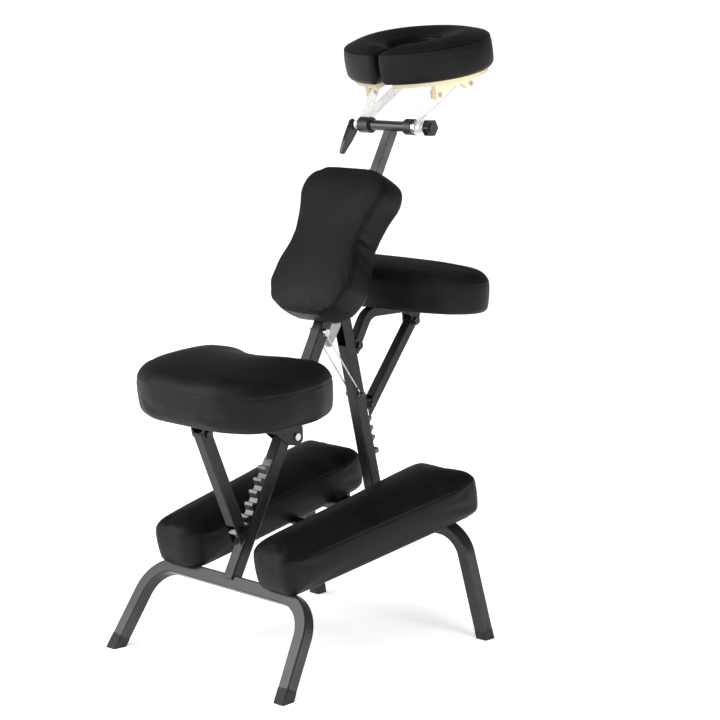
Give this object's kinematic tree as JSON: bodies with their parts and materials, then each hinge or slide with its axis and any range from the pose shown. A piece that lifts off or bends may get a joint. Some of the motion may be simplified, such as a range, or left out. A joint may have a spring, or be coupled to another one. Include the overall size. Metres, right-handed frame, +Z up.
{
  "type": "kneeling massage chair",
  "caption": "Folding kneeling massage chair with padded seat, kneeler, chest support, armrest and tilting crescent face cradle on crossed square-tube frames.",
  "frame": {"origin": "on the floor at the centre of the chair's bounding box", "axes": "+X to the user's right, +Y the way the seated user faces, from the seat toward the face cradle, +Z up"},
  "size_m": [0.4914, 0.7334, 1.1654],
  "materials": {
    "frame_paint": "dark grey hammered powder coat",
    "zinc": "bright zinc plate",
    "chrome_wire": "bright steel rope",
    "pad_leather": "black semi-matte upholstery leather over foam",
    "board": "dark stained plywood",
    "plywood": "clear finished birch plywood",
    "black_plastic": "black moulded plastic",
    "white_nylon": "white nylon",
    "rubber_cap": "black rubber"
  },
  "bodies": {
    "rear_frame": {"rear_leg_frame": "frame_paint", "rear_foot_caps": "rubber_cap", "main_post": "frame_paint", "post_collar": "black_plastic", "seat_ratchet": "zinc", "fold_hinge_bracket": "zinc", "post_bolts": "zinc", "spread_cable_left": "chrome_wire", "spread_cable_right": "chrome_wire", "cable_eyelets_upper": "zinc"},
    "front_frame": {"front_leg_frame": "frame_paint", "front_foot_caps": "rubber_cap", "front_beam": "frame_paint", "armrest_ratchet": "zinc", "armrest_pivot_lugs": "frame_paint", "beam_bolts": "zinc", "cable_eyelets_lower": "zinc"},
    "kneeler": {"knee_board_left": "board", "knee_board_right": "board", "knee_cushion_left": "pad_leather", "knee_cushion_right": "pad_leather", "knee_cross_bars": "frame_paint", "knee_hinge_saddles": "black_plastic", "knee_rest_blocks": "black_plastic"},
    "seat": {"seat_board": "board", "seat_cushion": "pad_leather", "seat_bracket": "frame_paint", "seat_strut_pivot_bolt": "zinc"},
    "seat_strut": {"seat_strut": "frame_paint", "seat_strut_catch_pin": "zinc"},
    "armrest": {"armrest_board": "board", "armrest_cushion": "pad_leather", "armrest_tube": "frame_paint", "armrest_strut_clevis": "frame_paint", "armrest_strut_pivot_bolt": "zinc"},
    "armrest_strut": {"armrest_strut": "frame_paint", "armrest_strut_catch_pin": "zinc"},
    "chest_support": {"chest_slide_sleeve": "frame_paint", "chest_board": "board", "chest_cushion": "pad_leather"},
    "chest_knob": {"chest_clamp_knob": "black_plastic"},
    "stem": {"stem_tube": "frame_paint", "cradle_crossbar": "frame_paint", "clutch_sleeve_left": "black_plastic", "clutch_sleeve_right": "black_plastic", "clutch_discs": "zinc", "cradle_tie_rod": "zinc", "rod_washers": "white_nylon"},
    "stem_knob": {"stem_clamp_knob": "black_plastic"},
    "cradle": {"cradle_arm_rear_left": "zinc", "cradle_arm_front_left": "zinc", "cradle_arm_rear_right": "zinc", "cradle_arm_front_right": "zinc", "cheek_block_left": "plywood", "cheek_block_right": "plywood", "cradle_arm_bolts": "zinc", "cradle_platform": "plywood", "face_cushion": "pad_leather"},
    "cam_lever": {"cam_lever": "black_plastic"},
    "tension_knob": {"tension_knob": "black_plastic"}
  },
  "joints": [
    {"name": "front_frame_fold", "type": "hinge", "parent": "rear_frame", "child": "front_frame", "pos_m": [0, 0.03206, 0.63404], "axis": [-1, 0, 0], "range_deg": [0, 20], "deforming": ["spread_cable_left", "spread_cable_right"]},
    {"name": "kneeler_swing", "type": "hinge", "parent": "front_frame", "child": "kneeler", "pos_m": [0, 0.1427, 0.2196], "axis": [-1, 0, 0], "range_deg": [-18, 0]},
    {"name": "seat_tilt", "type": "hinge", "parent": "rear_frame", "child": "seat", "pos_m": [0, -0.0983, 0.407], "axis": [-1, 0, 0], "range_deg": [0, 14]},
    {"name": "seat_strut_swing", "type": "hinge", "parent": "seat", "child": "seat_strut", "pos_m": [0, -0.3158, 0.443], "axis": [1, 0, 0], "range_deg": [0, 19.2]},
    {"name": "armrest_tilt", "type": "hinge", "parent": "front_frame", "child": "armrest", "pos_m": [0, 0.0707, 0.56], "axis": [-1, 0, 0], "range_deg": [0, 20]},
    {"name": "armrest_strut_swing", "type": "hinge", "parent": "armrest", "child": "armrest_strut", "pos_m": [0, 0.2287, 0.5915], "axis": [1, 0, 0], "range_deg": [0, 26]},
    {"name": "chest_slide", "type": "slide", "parent": "rear_frame", "child": "chest_support", "axis": [0, 0.4625, 0.8866], "range_m": [-0.035, 0.045]},
    {"name": "chest_knob_turn", "type": "hinge", "parent": "chest_support", "child": "chest_knob", "pos_m": [0, 0.0727, 0.72541], "axis": [0, 0.8866, -0.4625], "continuous": true},
    {"name": "stem_slide", "type": "slide", "parent": "rear_frame", "child": "stem", "axis": [0, 0.4625, 0.8866], "range_m": [-0.04, 0.08]},
    {"name": "stem_knob_turn", "type": "hinge", "parent": "rear_frame", "child": "stem_knob", "pos_m": [0, 0.12365, 0.82741], "axis": [0, 0.8866, -0.4625], "continuous": true},
    {"name": "cradle_tilt", "type": "hinge", "parent": "stem", "child": "cradle", "pos_m": [0, 0.1663, 0.9728], "axis": [1, 0, 0], "range_deg": [-25, 25]},
    {"name": "cam_lever_flip", "type": "hinge", "parent": "stem", "child": "cam_lever", "pos_m": [-0.095, 0.1663, 0.9728], "axis": [0, 0.8652, -0.5014], "range_deg": [0, 85]},
    {"name": "tension_knob_turn", "type": "hinge", "parent": "stem", "child": "tension_knob", "pos_m": [0.1, 0.1663, 0.9728], "axis": [1, 0, 0], "continuous": true}
  ],
  "couplings": [
    {"joint": "kneeler_swing", "follows": "front_frame_fold", "ratio": -0.9},
    {"joint": "seat_strut_swing", "follows": "seat_tilt", "ratio": 1.36},
    {"joint": "armrest_strut_swing", "follows": "armrest_tilt", "ratio": 1.25}
  ]
}
